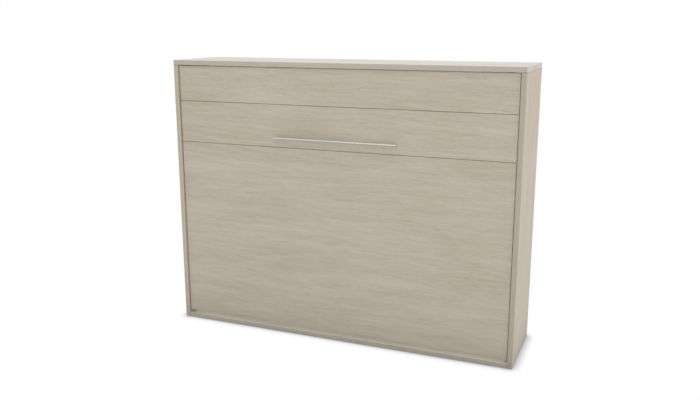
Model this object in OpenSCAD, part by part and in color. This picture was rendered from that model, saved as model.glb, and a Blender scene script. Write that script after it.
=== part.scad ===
// Horizontal fold-down cabinet bed, shown closed.
// X runs along the cabinet to the right, Y from the front to the wall, Z up from the floor.
// The origin is on the floor, under the centre of the carcass.

/* [Cabinet] */
// Overall width of the carcass
cabinet_w = 2110; // [2080:5:2400]
// Overall height, floor to the top face
cabinet_h = 1640; // [1600:5:1800]
// Depth, front edges to the wall
cabinet_d = 505; // [460:5:600]
// Thickness of the top, the sides and the bottom
carcass_t = 28; // [22:1:38]
// Small bevel left by the edge banding
arris = 1; // [0.5:0.5:2]
// Thickness of the two rear rails
rear_rail_t = 18; // [16:1:28]
// Height of the upper rear rail
rear_top_rail_h = 200; // [190:10:260]
// Height of the lower rear rail
rear_bottom_rail_h = 150; // [80:10:220]

/* [Wall fixing] */
// Distance between the wall bolts along the wall
wall_hole_spacing_x = 1400; // [1000:50:1600]
// Distance between the wall bolts, one above the other
wall_hole_spacing_z = 110; // [80:5:120]
// Diameter of the holes for the wall bolts
wall_hole_d = 10; // [8:1:12]
// Width of the steel angles
bracket_w = 60; // [50:5:80]
// Thickness of the steel angles
bracket_t = 4; // [3:0.5:5]

/* [Front boards] */
// Thickness of the front boards
front_t = 18; // [16:1:22]
// How far the front stands back from the carcass edges
front_inset = 10; // [6:1:14]
// Gap between the front and the sides and top
front_gap = 4; // [3:0.5:6]
// Gap under the front, which its lower edge needs to swing
under_gap = 18; // [16:1:24]
// Gap between one front board and the next
seam = 2; // [1.5:0.5:3]
// Height of the top board, which folds down as the foot
foot_board_h = 209; // [190:1:212]
// Height of the board that carries the handle
handle_board_h = 248; // [200:1:320]

/* [Handle] */
// Diameter of the bar
bar_d = 14; // [10:1:16]
// Distance between the two posts
post_spacing = 704; // [640:32:832]
// How far the bar runs on past each post
bar_overhang = 24; // [10:1:60]
// Diameter of the posts
post_d = 12; // [8:1:14]
// Distance from the front boards to the centre of the bar
bar_stand_off = 35; // [30:1:45]
// Height of the bar above the lower edge of its board
bar_rise = 58; // [50:1:120]
// Diameter of the screws that hold the posts
handle_screw_d = 4; // [4:1:5]

/* [Steel frame] */
// Depth of the frame tubes, front to back
tube_d = 50; // [40:1:50]
// Width of the two side rails
side_rail_w = 25; // [20:1:30]
// Width of the four long rails
long_rail_w = 30; // [25:1:40]
// Wall of the frame tubes
tube_wall = 2; // [1.5:0.5:3]
// Space left between the frame and each cabinet side
side_space = 47; // [44:1:60]
// Thickness of the wooden battens between the frame and the front boards
batten_t = 30; // [28:1:34]
// Width of the battens
batten_w = 60; // [45:1:70]
// Height of the centre rail above the lower one
centre_rail_rise = 625; // [500:5:700]
// Height of the rail behind the handle board above the lower one
handle_rail_rise = 1250; // [1150:5:1260]
// Diameter of the bolts that hold the battens
batten_bolt_d = 6; // [6:1:8]

/* [Slats] */
// Number of slats
slat_count = 14; // [14:2:16]
// Width of a slat
slat_w = 68; // [50:1:70]
// Thickness of a slat
slat_t = 8; // [6:1:10]
// Wall of the plastic shoes at the ends of the slats
shoe_wall = 3; // [2:0.5:4]
// Length of a shoe
shoe_l = 34; // [28:1:45]

/* [Mattress] */
// Length of the mattress
mattress_l = 2000; // [1900:10:2000]
// Width of the mattress
mattress_w = 1400; // [1400:10:1420]
// Thickness of the mattress
mattress_t = 200; // [140:10:220]
// Rounding of its edges
mattress_r = 28; // [15:1:40]
// Rounding of its four corners
mattress_corner_r = 60; // [45:5:90]
// Rise of the sleeping side from its edges to its middle
mattress_crown = 8; // [0:1:20]
// Width of the straps that hold it
strap_w = 40; // [30:1:50]
// Thickness of the straps
strap_t = 2; // [1.5:0.5:3]
// Which slat the straps lie over, counted outwards from the middle
strap_slat = 4; // [3:1:4]
// Diameter of the wire of the mattress hoops
hoop_d = 8; // [6:1:10]
// How far a hoop reaches along the mattress edge
hoop_reach = 110; // [80:5:130]

/* [Pivot and gas springs] */
// Distance of the pivot behind the carcass front edges
pivot_y = 90; // [84:1:92]
// Diameter of the pivot journal
journal_d = 16; // [14:1:18]
// Wall of the pivot bush
bush_wall = 4; // [3:0.5:5]
// Thickness of the plates on the cabinet sides
side_plate_t = 3; // [2.5:0.5:3]
// Thickness of the plates on the frame
frame_plate_t = 4; // [3:0.5:5]
// Distance of the lower spring stud below the pivot, and in front of it
stud_offset = 36; // [32:1:36]
// Distance of the upper spring stud above the pivot
spring_reach = 460; // [420:5:520]
// Diameter of the spring cylinder
cylinder_d = 22; // [18:1:22]
// Length of the spring cylinder
cylinder_l = 300; // [270:5:320]
// Diameter of the piston rod
rod_d = 10; // [8:1:10]
// Diameter of the spring studs
stud_d = 8; // [6:1:8]
// Outer diameter of the spring end fittings
eye_d = 18; // [16:1:18]

/* [Foot] */
// Width of the two legs
leg_w = 30; // [24:1:34]
// Depth of the legs, front to back
leg_d = 20; // [18:1:20]
// Diameter of the foot hinge pins
foot_pin_d = 10; // [8:1:10]
// Height of the plastic glides under the legs
glide_h = 3; // [3:1:6]
// Wall of the leg tubes and of the tube between them
leg_tube_wall = 1.5; // [1.5:0.5:2]
// Thickness of the hinge cheeks
cheek_t = 4; // [3:0.5:5]

/* [Hidden] */
$fn = 48;
// Segments of the circles that hulls join, and of round wire
hull_fn = 32;
wire_fn = 24;

// Colours
decor = "#b7ae9f";
side_decor = "#c5bcac";
satin_metal = "#c0bdb6";
zinc = "#a9abad";
frame_paint = "#4b4d50";
birch = "#d9bd8f";
raw_wood = "#c9a878";
black_plastic = "#26272a";
ticking = "#ece9e2";
webbing = "#3a3c40";
rubber_black = "#1e1e20";
chrome_steel = "#d3d5d8";

// Clearances: radial for shafts that turn, then beside soft pieces, stops and moving faces
running = 0.08;
soft_gap = 0.3;
touch_gap = 0.3;
side_play = 0.5;

// How far a cutting shape runs on past the face that it cuts
cut = 1;

// Carcass. Y is measured back from the plane of the carcass front edges.
side_h = cabinet_h - carcass_t;
inner_x = cabinet_w / 2 - carcass_t;
rear_y = cabinet_d - rear_rail_t;

// Dowels and cam fittings of the carcass
dowel_d = 8;
dowel_l = 35;
dowel_in_end = 20;
dowel_inset = 60;
dowel_y = [dowel_inset, cabinet_d / 2, cabinet_d - dowel_inset];
rail_dowel_inset = 30;
cam_d = 15;
cam_depth = 12.5;
cam_back = 34;
cam_bolt_d = 7;
cam_bolt_in_board = 12;
cam_inset = 110;
cam_y = [cam_inset, cabinet_d - cam_inset];

// Wall fixing
wood_screw_d = 5;
wood_screw_l = 22;
wall_hole_drop = 50;
wall_hole_z = [side_h - wall_hole_drop - wall_hole_spacing_z, side_h - wall_hole_drop];
bracket_h = wall_hole_drop + wall_hole_spacing_z + bracket_w / 2;
bracket_fillet = 3;
bracket_screw_dx = 18;
bracket_screw_reach = 0.7 * bracket_w;

// Front boards
front_w = 2 * (inner_x - front_gap);
front_back_y = front_inset + front_t;
front_bottom_z = carcass_t + under_gap;
front_top_z = side_h - front_gap;
foot_board_z = front_top_z - foot_board_h;
handle_board_top = foot_board_z - seam;
handle_board_z = handle_board_top - handle_board_h;
lower_board_top = handle_board_z - seam;
lower_board_h = lower_board_top - front_bottom_z;

// Handle
bar_l = post_spacing + 2 * bar_overhang;
bar_y = front_inset - bar_stand_off;
bar_z = handle_board_z + bar_rise;
bar_bevel = 0.8;
handle_screw_in_post = 12;
handle_screw_head = 2.6;

// Foot hinge: its axis lies in the middle of the legs, just under the upper edge of the board
foot_axis_y = front_back_y + leg_d / 2;
foot_axis_drop = 9;
foot_axis_z = front_top_z - foot_axis_drop;
foot_reach = foot_axis_z - foot_board_z;
cross_tube_rise = 30;
cheek_r = 9;
clevis_h = 44;
hinge_pin_head_t = 2.5;

// Main pivot: its height lets the foot stand on the floor when the bed is open
pivot_z = pivot_y - foot_axis_y + foot_reach;
bush_flange_t = 2;
bush_flange = 4;
bush_d = journal_d + 2 * bush_wall;
pin_shoulder = 5;
pin_end = 6;
pin_cap_t = 3;
plate_corner = 12;
frame_plate_edge = 2;
frame_plate_inset = plate_corner + frame_plate_edge;
frame_plate_reach = 60;

// Steel frame
frame_x = inner_x - side_space;
rail_x = frame_x - side_rail_w / 2;
frame_y = front_back_y + batten_t;
frame_back_y = frame_y + tube_d;
frame_rise = 20;
frame_drop = 18;
lower_rail_rise = 24;
frame_bottom_z = front_bottom_z + frame_rise;
frame_top_z = front_top_z - frame_drop;
long_rail_l = 2 * (frame_x - side_rail_w);
lower_rail_z = frame_bottom_z + lower_rail_rise;
rail_levels = [lower_rail_z, lower_rail_z + centre_rail_rise, lower_rail_z + handle_rail_rise];

// Slats and their shoes
slat_pitch = mattress_l / slat_count;
slat_y = frame_back_y + shoe_wall;
shoe_y = slat_y + slat_t + shoe_wall - touch_gap;
slat_bow = shoe_y - slat_y - slat_t;
shoe_margin = 2;
slat_steps = 16;

// Mattress, between the middles of the lower and the upper rail
mattress_y = shoe_y + soft_gap;
sharpest_corner_r = 4;
mattress_z = lower_rail_z + long_rail_w / 2;
mattress_top = mattress_z + mattress_w;
upper_rail_z = mattress_top - long_rail_w / 2;
slat_z = lower_rail_z + shoe_wall + shoe_margin;
slat_l = upper_rail_z + long_rail_w - shoe_wall - shoe_margin - slat_z;
corner_steps = 6;
edge_steps = 5;
crown_steps = 5;
crown_edge_y = mattress_t - mattress_crown;
crown_flat = 120;
crown_inset = (mattress_w - crown_flat) / 2 - mattress_r;

// Hoops and straps: the prongs of a hoop stand in the gaps on either side of one slat
strap_x = (strap_slat - 0.5) * slat_pitch;
hoop_w = slat_pitch;
hoop_bend = 20;
lower_hoop_z = mattress_z - soft_gap - hoop_d / 2;
upper_hoop_z = mattress_top + soft_gap + hoop_d / 2;
hoop_y = frame_back_y + hoop_reach;

// Battens: two near the middle and one near each end, each in a gap between slats
outer_gap = slat_count / 2 - 1;
batten_x = [-outer_gap * slat_pitch, -2 * slat_pitch, 2 * slat_pitch, outer_gap * slat_pitch];
batten_inset = 10;
batten_z = front_bottom_z + batten_inset;
batten_h = handle_board_top - batten_inset - batten_z;
batten_bolt_tip = 6;
batten_bolt_head = 0.6 * batten_bolt_d;
board_screw_dx = 16;
board_screw_in_board = 12;
board_screw_inset = 40;
board_screw_z = [
  front_bottom_z + board_screw_inset, (front_bottom_z + lower_board_top) / 2,
  lower_board_top - board_screw_inset, handle_board_z + board_screw_inset,
  handle_board_top - board_screw_inset
];

// Gas springs, in the middle of the space beside the frame
spring_x = inner_x - side_space / 2;
stud_y = pivot_y - stud_offset;
stud_z = pivot_z - stud_offset;
upper_stud_z = pivot_z + spring_reach;
spring_l = norm([pivot_y - stud_y, upper_stud_z - stud_z]);
spring_l_open = norm([spring_reach - stud_offset, stud_offset]);
spring_tilt = atan((pivot_y - stud_y) / (upper_stud_z - stud_z));
eye_w = 12;
collar_edge = 3;
clip_t = 2;
stud_nut_d = 20;
stud_nut_t = 5;
neck_d = 9;
cylinder_start = 24;
cylinder_wall = 2;
cylinder_cap = 4;
rod_guide_l = 20;
piston_l = 8;
piston_room = 14;
rod_inner_l = spring_l_open - cylinder_start - piston_room;

// Side plates: rounded corners and screws, as distances from the pivot
plate_corners = [[-26, 34, 12], [4, 66, 14], [4, -66, 14], [60, 0, 18]];
plate_screws = [[34, -26], [34, 26], [-26, 34], [4, 62], [4, -62], [60, 0]];

// Stops that the closed frame rests against
buffer_l = 8;
stop_drop = 20;
stop_y = frame_back_y + buffer_l;
stop_z = frame_top_z - stop_drop;
stop_h = 52;
stop_t = 3;
stop_foot = 48;
stop_arm = 14;
buffer_d = 20;
buffer_tip_d = 16;
stop_screw_dz = 16;
stop_screw_reach = 0.6 * stop_foot;

// Moves pieces from the plane of the front edges to the part's own frame.
module from_front() {
  translate([0, -cabinet_d / 2, 0]) children();
}

// Puts a piece drawn for the right side on the given side.
module on_side(side) {
  if (side > 0) children();
  else mirror([1, 0, 0]) children();
}

// Rectangle with bevelled corners, from its lower left corner.
module bevelled_rect(w, h, bevel) {
  polygon([
    [bevel, 0], [w - bevel, 0], [w, bevel], [w, h - bevel],
    [w - bevel, h], [bevel, h], [0, h - bevel], [0, bevel]
  ]);
}

// Board whose long edges all have the small bevel of the edge banding.
module banded_board(w, d, h) {
  intersection() {
    linear_extrude(h) bevelled_rect(w, d, arris);
    rotate([90, 0, 90]) linear_extrude(w) bevelled_rect(d, h, arris);
  }
}

// Upright rectangular steel tube.
module upright_tube(w, d, h, wall) {
  linear_extrude(h) difference() {
    bevelled_rect(w, d, wall);
    translate([wall, wall]) square([w - 2 * wall, d - 2 * wall]);
  }
}

// Rectangular steel tube along X, from x = 0.
module lying_tube(l, d, h, wall) {
  rotate([90, 0, 90]) upright_tube(d, h, l, wall);
}

// Cylinder along X, from x = 0.
module rod_x(d, l) {
  rotate([0, 90, 0]) cylinder(d = d, h = l);
}

// Cylinder along Y, from y = 0.
module rod_y(d, l) {
  rotate([-90, 0, 0]) cylinder(d = d, h = l);
}

// Every dowel of the right half of the carcass: top, bottom and both rear rails.
module right_dowels() {
  for (y = dowel_y) {
    translate([inner_x + carcass_t / 2, y, side_h - dowel_in_end])
      cylinder(d = dowel_d, h = dowel_l);
    translate([inner_x - dowel_in_end, y, carcass_t / 2]) rod_x(dowel_d, dowel_l);
  }
  rail_z = [
    carcass_t + rail_dowel_inset, carcass_t + rear_bottom_rail_h - rail_dowel_inset,
    side_h - rear_top_rail_h + rail_dowel_inset, side_h - rail_dowel_inset
  ];
  for (z = rail_z)
    translate([inner_x - dowel_in_end, rear_y + rear_rail_t / 2, z]) rod_x(dowel_d, dowel_l);
}

module all_dowels() {
  for (side = [-1, 1]) on_side(side) right_dowels();
}

// Round cams that draw the bolts in: in the sides at the top, in the bottom panel at the floor.
module all_cams() {
  for (side = [-1, 1], y = cam_y) on_side(side) {
    translate([inner_x, y, side_h - cam_back]) rod_x(cam_d, cam_depth);
    translate([inner_x - cam_back, y, carcass_t - cam_depth]) cylinder(d = cam_d, h = cam_depth);
  }
}

// Bolts from the middle of each cam into the neighbouring board.
module all_cam_bolts() {
  for (side = [-1, 1], y = cam_y) on_side(side) {
    translate([inner_x + cam_depth / 2, y, side_h - cam_back])
      cylinder(d = cam_bolt_d, h = cam_back + cam_bolt_in_board);
    translate([inner_x - cam_back, y, carcass_t - cam_depth / 2])
      rod_x(cam_bolt_d, cam_back + cam_bolt_in_board);
  }
}

module fixing_holes() {
  all_dowels();
  all_cams();
  all_cam_bolts();
}

// Countersunk wood screw along +X: the flat of its head is at x = 0.
module flat_screw_x(d, l) {
  rotate([0, 90, 0]) {
    cylinder(d1 = 2 * d, d2 = d, h = d / 2);
    cylinder(d = d, h = l);
  }
}

// Screws of one side plate, into the board behind it.
module plate_screws_right() {
  for (p = plate_screws) translate([inner_x - side_plate_t, pivot_y + p[0], pivot_z + p[1]])
    flat_screw_x(wood_screw_d, wood_screw_l);
}

// Screws of one stop bracket.
module stop_screws_right() {
  for (dz = [-stop_screw_dz, stop_screw_dz])
    translate([inner_x - stop_t, stop_y + stop_screw_reach, stop_z + dz])
      flat_screw_x(wood_screw_d, wood_screw_l);
}

// Sides: full-height boards that the top lies over.
module side_panel(side) {
  color(side_decor) from_front() on_side(side) difference() {
    translate([inner_x, 0, 0]) banded_board(carcass_t, cabinet_d, side_h);
    fixing_holes();
    plate_screws_right();
    stop_screws_right();
  }
}

// Top: runs over both sides.
module top_panel() {
  color(decor) from_front() difference() {
    translate([-cabinet_w / 2, 0, side_h]) banded_board(cabinet_w, cabinet_d, carcass_t);
    fixing_holes();
    all_bracket_screws();
  }
}

// Bottom: between the sides, flat on the floor.
module bottom_panel() {
  color(decor) from_front() difference() {
    translate([-inner_x, 0, 0]) banded_board(2 * inner_x, cabinet_d, carcass_t);
    fixing_holes();
  }
}

module rear_top_rail() {
  color(decor) from_front() difference() {
    translate([-inner_x, rear_y, side_h - rear_top_rail_h])
      cube([2 * inner_x, rear_rail_t, rear_top_rail_h]);
    all_dowels();
    wall_holes();
  }
}

module rear_bottom_rail() {
  color(decor) from_front() difference() {
    translate([-inner_x, rear_y, carcass_t]) cube([2 * inner_x, rear_rail_t, rear_bottom_rail_h]);
    all_dowels();
  }
}

module dowels() {
  color(raw_wood) from_front() all_dowels();
}

module cam_locks() {
  color(zinc) from_front() difference() {
    all_cams();
    all_cam_bolts();
  }
}

module cam_bolts() {
  color(zinc) from_front() all_cam_bolts();
}

// Holes for the wall bolts, through the brackets and the rail.
module wall_holes() {
  for (x = [-wall_hole_spacing_x / 2, wall_hole_spacing_x / 2], z = wall_hole_z)
    translate([x, rear_y - bracket_t, z]) rod_y(wall_hole_d, bracket_t + rear_rail_t);
}

// Screws that hold the brackets up to the top panel.
module all_bracket_screws() {
  for (x = [-wall_hole_spacing_x / 2, wall_hole_spacing_x / 2])
    for (dx = [-bracket_screw_dx, bracket_screw_dx])
      translate([x + dx, rear_y - bracket_screw_reach, side_h - bracket_t])
        rotate([0, -90, 0]) flat_screw_x(wood_screw_d, wood_screw_l);
}

// Steel angles that carry the wall load into the top panel and the rail.
module wall_brackets() {
  color(zinc) from_front() difference() {
    for (x = [-wall_hole_spacing_x / 2, wall_hole_spacing_x / 2])
      translate([x - bracket_w / 2, rear_y, side_h]) rotate([90, 0, 90]) linear_extrude(bracket_w)
        polygon([
          [0, 0], [-bracket_w, 0], [-bracket_w, -bracket_t],
          [-bracket_t - bracket_fillet, -bracket_t], [-bracket_t, -bracket_t - bracket_fillet],
          [-bracket_t, -bracket_h], [0, -bracket_h]
        ]);
    wall_holes();
    all_bracket_screws();
  }
}

module bracket_screws() {
  color(zinc) from_front() all_bracket_screws();
}

// Plate on the cabinet side: it carries the pivot pin and the lower spring stud.
module side_plate(side) {
  color(zinc) from_front() on_side(side) difference() {
    translate([inner_x - side_plate_t, pivot_y, pivot_z])
      rotate([90, 0, 90]) linear_extrude(side_plate_t) hull() {
        translate([-stud_offset, -stud_offset]) circle(plate_corner, $fn = hull_fn);
        for (c = plate_corners) translate([c[0], c[1]]) circle(c[2], $fn = hull_fn);
      }
    plate_screws_right();
  }
}

module side_plate_screws() {
  color(zinc) from_front() for (side = [-1, 1]) on_side(side) {
    plate_screws_right();
    stop_screws_right();
  }
}

// Pivot pin: a shoulder against the side plate and a journal that runs in the bush.
module pivot_pin(side) {
  shoulder_x = frame_x + frame_plate_t + bush_flange_t + side_play;
  end_x = frame_x - side_rail_w - pin_end;
  color(chrome_steel) from_front() on_side(side) translate([0, pivot_y, pivot_z]) {
    translate([shoulder_x, 0, 0])
      rod_x(journal_d + 2 * pin_shoulder, inner_x - side_plate_t - shoulder_x);
    translate([end_x, 0, 0]) rod_x(journal_d, shoulder_x - end_x);
    translate([end_x, 0, 0]) rod_x(journal_d + 2 * bush_wall, pin_cap_t);
  }
}

// Plain bushes, pressed through the side rails and the frame plates.
module pivot_bushes() {
  color(black_plastic) from_front() for (side = [-1, 1]) on_side(side)
    translate([frame_x - side_rail_w, pivot_y, pivot_z]) difference() {
      union() {
        rod_x(bush_d, side_rail_w + frame_plate_t);
        translate([side_rail_w + frame_plate_t, 0, 0]) rod_x(bush_d + 2 * bush_flange, bush_flange_t);
      }
      translate([-cut, 0, 0])
        rod_x(journal_d + 2 * running, side_rail_w + frame_plate_t + bush_flange_t + 2 * cut);
    }
}

// Lower spring stud, riveted to the side plate, with a collar on each side of the eye.
module lower_stud(side) {
  collar_x = spring_x + eye_w / 2 + side_play;
  clip_x = spring_x - eye_w / 2 - side_play;
  color(chrome_steel) from_front() on_side(side) translate([0, stud_y, stud_z]) {
    translate([clip_x, 0, 0]) rod_x(stud_d, collar_x - clip_x);
    translate([collar_x, 0, 0])
      rod_x(stud_d + 2 * collar_edge, inner_x - side_plate_t - collar_x);
    translate([clip_x - clip_t, 0, 0]) rod_x(stud_d + 2 * collar_edge, clip_t);
  }
}

// Bent angle on the cabinet side. The closed frame rests against the buffer on it.
module stop_bracket(side) {
  color(zinc) from_front() on_side(side) difference() {
    translate([0, stop_y, stop_z - stop_h / 2]) linear_extrude(stop_h) polygon([
      [rail_x - stop_arm, 0], [inner_x, 0], [inner_x, stop_foot], [inner_x - stop_t, stop_foot],
      [inner_x - stop_t, 2 * stop_t], [inner_x - 2 * stop_t, stop_t], [rail_x - stop_arm, stop_t]
    ]);
    stop_screws_right();
  }
}

// Tapered rubber buffers on the stop brackets.
module stop_buffers() {
  color(rubber_black) from_front() for (side = [-1, 1]) on_side(side)
    translate([rail_x, frame_back_y + touch_gap, stop_z]) rotate([-90, 0, 0])
      cylinder(d1 = buffer_tip_d, d2 = buffer_d, h = stop_y - frame_back_y - touch_gap);
}

// Front boards that ride on the frame.
module lower_front_board() {
  color(decor) from_front() difference() {
    translate([-front_w / 2, front_inset, front_bottom_z]) banded_board(front_w, front_t, lower_board_h);
    all_board_screws();
  }
}

module handle_board() {
  color(decor) from_front() difference() {
    translate([-front_w / 2, front_inset, handle_board_z]) banded_board(front_w, front_t, handle_board_h);
    all_board_screws();
    all_handle_screws();
  }
}

// Handle: a straight round bar with bevelled ends, turned as one piece.
module handle_bar() {
  color(satin_metal) from_front() translate([-bar_l / 2, bar_y, bar_z]) rotate([0, 90, 0])
    rotate_extrude() polygon([
      [0, 0], [bar_d / 2 - bar_bevel, 0], [bar_d / 2, bar_bevel],
      [bar_d / 2, bar_l - bar_bevel], [bar_d / 2 - bar_bevel, bar_l], [0, bar_l]
    ]);
}

// Posts, hollowed at the tip to seat the bar and screwed on from behind the board.
module handle_posts() {
  color(satin_metal) from_front() difference() {
    for (side = [-1, 1]) translate([side * post_spacing / 2, bar_y, bar_z]) rod_y(post_d, bar_stand_off);
    translate([-bar_l / 2, bar_y, bar_z]) rod_x(bar_d, bar_l);
    all_handle_screws();
  }
}

module all_handle_screws() {
  shank = handle_screw_in_post + front_t;
  for (side = [-1, 1])
    translate([side * post_spacing / 2, front_inset - handle_screw_in_post, bar_z]) {
      rod_y(handle_screw_d, shank);
      translate([0, shank, 0]) rod_y(2 * handle_screw_d, handle_screw_head);
    }
}

module handle_screws() {
  color(zinc) from_front() all_handle_screws();
}

// Wooden battens that hold the front boards off the frame.
module batten(i) {
  color(raw_wood) from_front() difference() {
    translate([batten_x[i] - batten_w / 2, front_back_y, batten_z]) cube([batten_w, batten_t, batten_h]);
    all_batten_bolts();
    all_board_screws();
  }
}

// Bolts through the rails into the battens.
module all_batten_bolts() {
  shank = frame_back_y - front_back_y - batten_bolt_tip;
  for (x = batten_x, z = rail_levels)
    translate([x, front_back_y + batten_bolt_tip, z + long_rail_w / 2]) {
      rod_y(batten_bolt_d, shank);
      translate([0, shank, 0]) rod_y(2 * batten_bolt_d, batten_bolt_head);
    }
}

module batten_bolts() {
  color(zinc) from_front() all_batten_bolts();
}

// Screws through the battens into the back of the front boards.
module all_board_screws() {
  for (x = batten_x, z = board_screw_z)
    translate([x - board_screw_dx, frame_y, z]) rotate([0, 0, -90])
      flat_screw_x(wood_screw_d, batten_t + board_screw_in_board);
}

module board_screws() {
  color(zinc) from_front() all_board_screws();
}

// Side rails of the steel frame, with the bores for the pivot bushes.
module side_rail(side) {
  color(frame_paint) from_front() on_side(side) difference() {
    translate([frame_x - side_rail_w, frame_y, frame_bottom_z])
      upright_tube(side_rail_w, tube_d, frame_top_z - frame_bottom_z, tube_wall);
    translate([frame_x - side_rail_w - cut, pivot_y, pivot_z])
      rod_x(bush_d, side_rail_w + 2 * cut);
  }
}

// Long rails, butted between the side rails.
module long_rail(z) {
  color(frame_paint) from_front() difference() {
    translate([-long_rail_l / 2, frame_y, z]) lying_tube(long_rail_l, tube_d, long_rail_w, tube_wall);
    all_batten_bolts();
  }
}

// Plates that stiffen the side rails round the bushes.
module frame_plate(side) {
  color(zinc) from_front() on_side(side) difference() {
    translate([frame_x, 0, 0]) rotate([90, 0, 90]) linear_extrude(frame_plate_t) hull() {
      translate([pivot_y, pivot_z]) circle(d = bush_d + 2 * plate_corner, $fn = hull_fn);
      for (y = [frame_y + frame_plate_inset, frame_back_y - frame_plate_inset])
        for (z = [pivot_z - frame_plate_reach, pivot_z + frame_plate_reach])
          translate([y, z]) circle(plate_corner, $fn = hull_fn);
    }
    translate([frame_x - cut, pivot_y, pivot_z]) rod_x(bush_d, frame_plate_t + 2 * cut);
  }
}

// Upper spring stud, on the outer face of the side rail.
module upper_stud(side) {
  color(chrome_steel) from_front() on_side(side) translate([frame_x, pivot_y, upper_stud_z]) {
    rotate([0, 90, 0]) cylinder(d = stud_nut_d, h = stud_nut_t, $fn = 6);
    rod_x(stud_d, spring_x - eye_w / 2 - side_play - frame_x);
  }
}

// Sprung slats, slightly bowed towards the mattress.
function bow_at(z) = slat_bow * sin(180 * z / slat_l);

module slat_profile() {
  heights = [for (i = [0:slat_steps]) slat_l * i / slat_steps];
  inner = [for (z = heights) [bow_at(z), z]];
  outer = [for (i = [slat_steps:-1:0]) [slat_t + bow_at(heights[i]), heights[i]]];
  polygon(concat(inner, outer));
}

function slat_x(i) = (i - (slat_count - 1) / 2) * slat_pitch;

module slats() {
  color(birch) from_front() for (i = [0:slat_count - 1])
    translate([slat_x(i) - slat_w / 2, slat_y, slat_z]) rotate([90, 0, 90])
      linear_extrude(slat_w) slat_profile();
}

// Plastic shoes that hold the ends of the slats on the rails.
module slat_shoe() {
  difference() {
    translate([-slat_w / 2 - shoe_wall, frame_back_y, -shoe_wall])
      cube([slat_w + 2 * shoe_wall, shoe_y - frame_back_y, shoe_l]);
    translate([-slat_w / 2, slat_y, 0]) cube([slat_w, slat_t + bow_at(shoe_l), shoe_l]);
  }
}

module slat_shoes() {
  color(black_plastic) from_front() for (i = [0:slat_count - 1]) {
    translate([slat_x(i), 0, slat_z]) slat_shoe();
    translate([slat_x(i), 0, slat_z + slat_l]) mirror([0, 0, 1]) slat_shoe();
  }
}

// One closed outline of the mattress, drawn in by inset, at depth y.
function mattress_outline(inset, y) = let (
  r = max(mattress_corner_r - inset, sharpest_corner_r),
  half_l = mattress_l / 2 - inset - r,
  half_w = mattress_w / 2 - inset - r
) [
  for (q = [0:3], s = [0:corner_steps]) let (
    a = 90 * (q + s / corner_steps),
    cx = (q == 0 || q == 3) ? half_l : -half_l,
    cz = q < 2 ? half_w : -half_w
  ) [cx + r * cos(a), y, cz + r * sin(a)]
];

// Outlines from the side on the slats, round both edges and over the crowned sleeping side.
function mattress_rings() = concat(
  [for (i = [0:edge_steps]) let (a = 90 * i / edge_steps)
    mattress_outline(mattress_r * (1 - sin(a)), mattress_r * (1 - cos(a)))],
  [for (i = [0:edge_steps]) let (a = 90 * i / edge_steps)
    mattress_outline(mattress_r * (1 - cos(a)), crown_edge_y - mattress_r * (1 - sin(a)))],
  [for (i = [1:crown_steps]) let (u = i / crown_steps)
    mattress_outline(mattress_r + u * crown_inset, crown_edge_y + mattress_crown * sin(90 * u))]
);

module mattress() {
  rings = mattress_rings();
  n = 4 * (corner_steps + 1);
  last = len(rings) - 1;
  walls = [
    for (k = [0:last - 1], i = [0:n - 1]) let (j = (i + 1) % n)
      each [[k * n + i, (k + 1) * n + i, k * n + j], [k * n + j, (k + 1) * n + i, (k + 1) * n + j]]
  ];
  lower_face = [for (i = [1:n - 2]) [0, i, i + 1]];
  upper_face = [for (i = [1:n - 2]) [last * n, last * n + i + 1, last * n + i]];
  color(ticking) from_front() translate([0, mattress_y, mattress_z + mattress_w / 2])
    polyhedron([for (ring = rings) each ring], concat(walls, lower_face, upper_face));
}

// Quarter of a ring, where a hoop turns a corner.
module quarter_bend() {
  rotate_extrude(angle = 90) translate([hoop_bend, 0]) circle(d = hoop_d, $fn = wire_fn);
}

// One wire hoop in the XY plane, its prongs starting at y = 0.
module hoop() {
  prong = hoop_reach - hoop_bend;
  for (side = [-1, 1]) on_side(side) {
    translate([hoop_w / 2, 0, 0]) rotate([-90, 0, 0]) cylinder(d = hoop_d, h = prong, $fn = wire_fn);
    translate([hoop_w / 2 - hoop_bend, prong, 0]) quarter_bend();
    translate([0, hoop_reach, 0]) rotate([0, 90, 0])
      cylinder(d = hoop_d, h = hoop_w / 2 - hoop_bend, $fn = wire_fn);
  }
}

// Hoops at both long edges: the lower pair carries the mattress while the bed is closed.
module upper_hoops() {
  color(zinc) from_front() for (side = [-1, 1])
    translate([side * strap_x, frame_back_y, upper_hoop_z]) hoop();
}

module lower_hoops() {
  color(zinc) from_front() for (side = [-1, 1])
    translate([side * strap_x, frame_back_y, lower_hoop_z]) hoop();
}

// Straps from hoop to hoop over the face of the mattress.
module strap_profile() {
  start_y = hoop_y + hoop_d / 2 + soft_gap;
  face_y = mattress_y + mattress_t + soft_gap;
  low_z = mattress_z - soft_gap;
  high_z = mattress_top + soft_gap;
  bend = mattress_r + soft_gap;
  difference() {
    union() {
      translate([start_y, low_z - strap_t])
        square([face_y - bend - start_y, high_z - low_z + 2 * strap_t]);
      translate([face_y - bend, low_z + bend]) square([bend + strap_t, high_z - low_z - 2 * bend]);
      for (z = [low_z + bend, high_z - bend]) translate([face_y - bend, z]) circle(bend + strap_t);
    }
    translate([start_y - cut, low_z]) square([face_y - bend - start_y + cut, high_z - low_z]);
    translate([face_y - bend - cut, low_z + bend]) square([bend + cut, high_z - low_z - 2 * bend]);
    for (z = [low_z + bend, high_z - bend]) translate([face_y - bend, z]) circle(bend);
  }
}

module mattress_straps() {
  color(webbing) from_front() for (side = [-1, 1])
    translate([side * strap_x - strap_w / 2, 0, 0]) rotate([90, 0, 90])
      linear_extrude(strap_w) strap_profile();
}

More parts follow.
